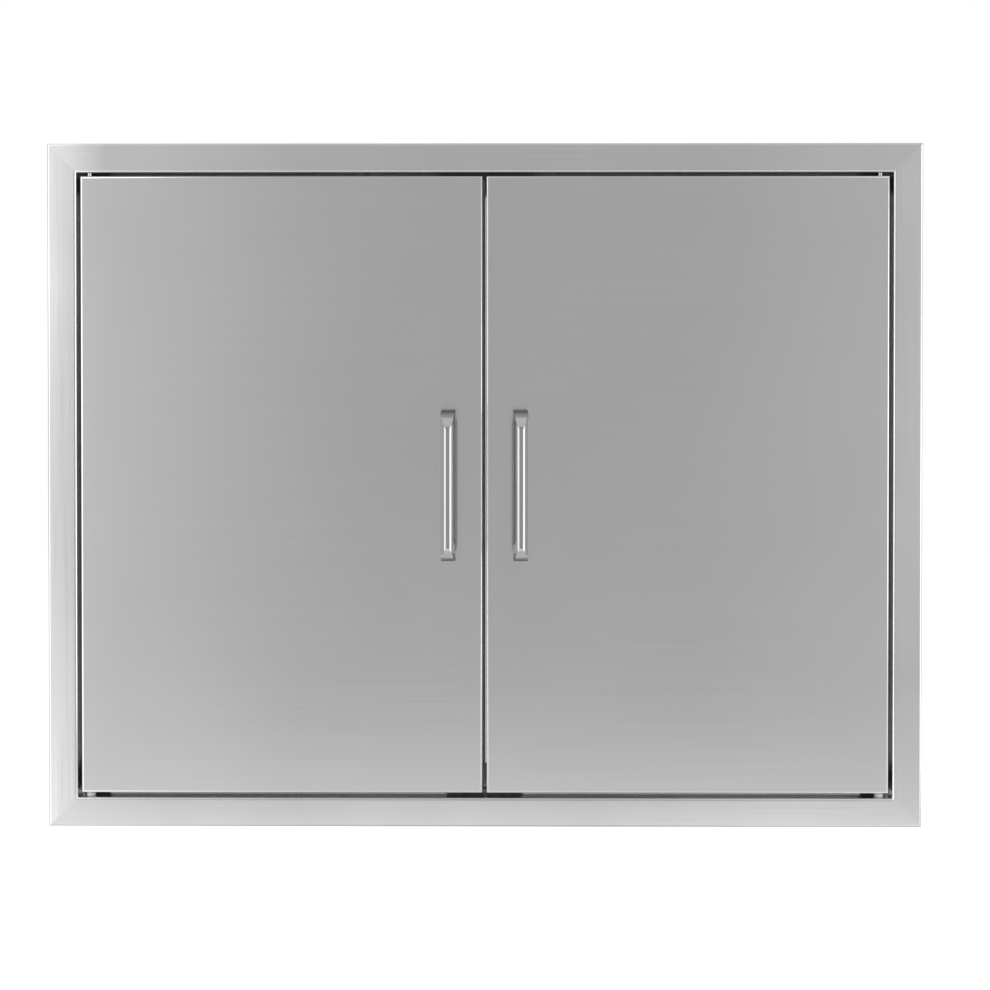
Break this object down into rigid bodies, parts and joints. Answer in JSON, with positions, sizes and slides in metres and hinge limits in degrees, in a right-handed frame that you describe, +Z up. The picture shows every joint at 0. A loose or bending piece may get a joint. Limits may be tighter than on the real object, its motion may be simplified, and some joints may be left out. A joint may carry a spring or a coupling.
{
  "type": "barbecue island access door",
  "caption": "Double access door for an outdoor kitchen: a mitred stainless frame with two flush doors on corner pivots, arched pulls and magnetic catches.",
  "frame": {"origin": "centre of the door opening, on the plane of the island's face that the frame's edge rests against", "axes": "+X to the right, +Y into the island, +Z up"},
  "size_m": [0.787, 0.0828, 0.616],
  "materials": {
    "frame_steel": "brushed stainless, grain along each member",
    "door_steel": "brushed stainless, horizontal grain",
    "liner_steel": "mill-finished stainless sheet",
    "pull_steel": "polished stainless",
    "pin_steel": "turned stainless",
    "bush_plastic": "natural acetal",
    "block_plastic": "black nylon",
    "catch_plastic": "black moulded plastic",
    "magnet_ferrite": "sintered ferrite",
    "plate_steel": "zinc-plated steel",
    "screw_steel": "stainless",
    "rubber_black": "black elastomer",
    "plug_plastic": "grey moulded plastic"
  },
  "bodies": {
    "frame": {"frame_top_rail": "frame_steel", "frame_bottom_rail": "frame_steel", "frame_left_stile": "frame_steel", "frame_right_stile": "frame_steel", "pivot_doubler_plates": "plate_steel", "top_pivot_pins": "pin_steel", "bottom_pivot_pins": "pin_steel", "bottom_pivot_washers": "pin_steel", "catch_case": "catch_plastic", "catch_magnets": "magnet_ferrite", "catch_pole_plates": "plate_steel", "catch_screws": "screw_steel", "lower_stop_bracket": "plate_steel", "stop_bumpers": "rubber_black"},
    "left_door": {"left_door_skin": "door_steel", "left_door_liner": "liner_steel", "left_door_pivot_blocks": "block_plastic", "left_door_bushes": "bush_plastic", "left_pull": "pull_steel", "left_pull_backer": "plate_steel", "left_pull_screws": "screw_steel", "left_liner_plugs": "plug_plastic", "left_strike_plate": "plate_steel", "left_meeting_strip": "rubber_black"},
    "right_door": {"right_door_skin": "door_steel", "right_door_liner": "liner_steel", "right_door_pivot_blocks": "block_plastic", "right_door_bushes": "bush_plastic", "right_pull": "pull_steel", "right_pull_backer": "plate_steel", "right_pull_screws": "screw_steel", "right_liner_plugs": "plug_plastic", "right_strike_plate": "plate_steel"}
  },
  "joints": [
    {"name": "left_door_hinge", "type": "hinge", "parent": "frame", "child": "left_door", "pos_m": [-0.3568, -0.001, 0], "axis": [0, 0, -1], "range_deg": [0, 110]},
    {"name": "right_door_hinge", "type": "hinge", "parent": "frame", "child": "right_door", "pos_m": [0.3568, -0.001, 0], "axis": [0, 0, 1], "range_deg": [0, 110]}
  ]
}
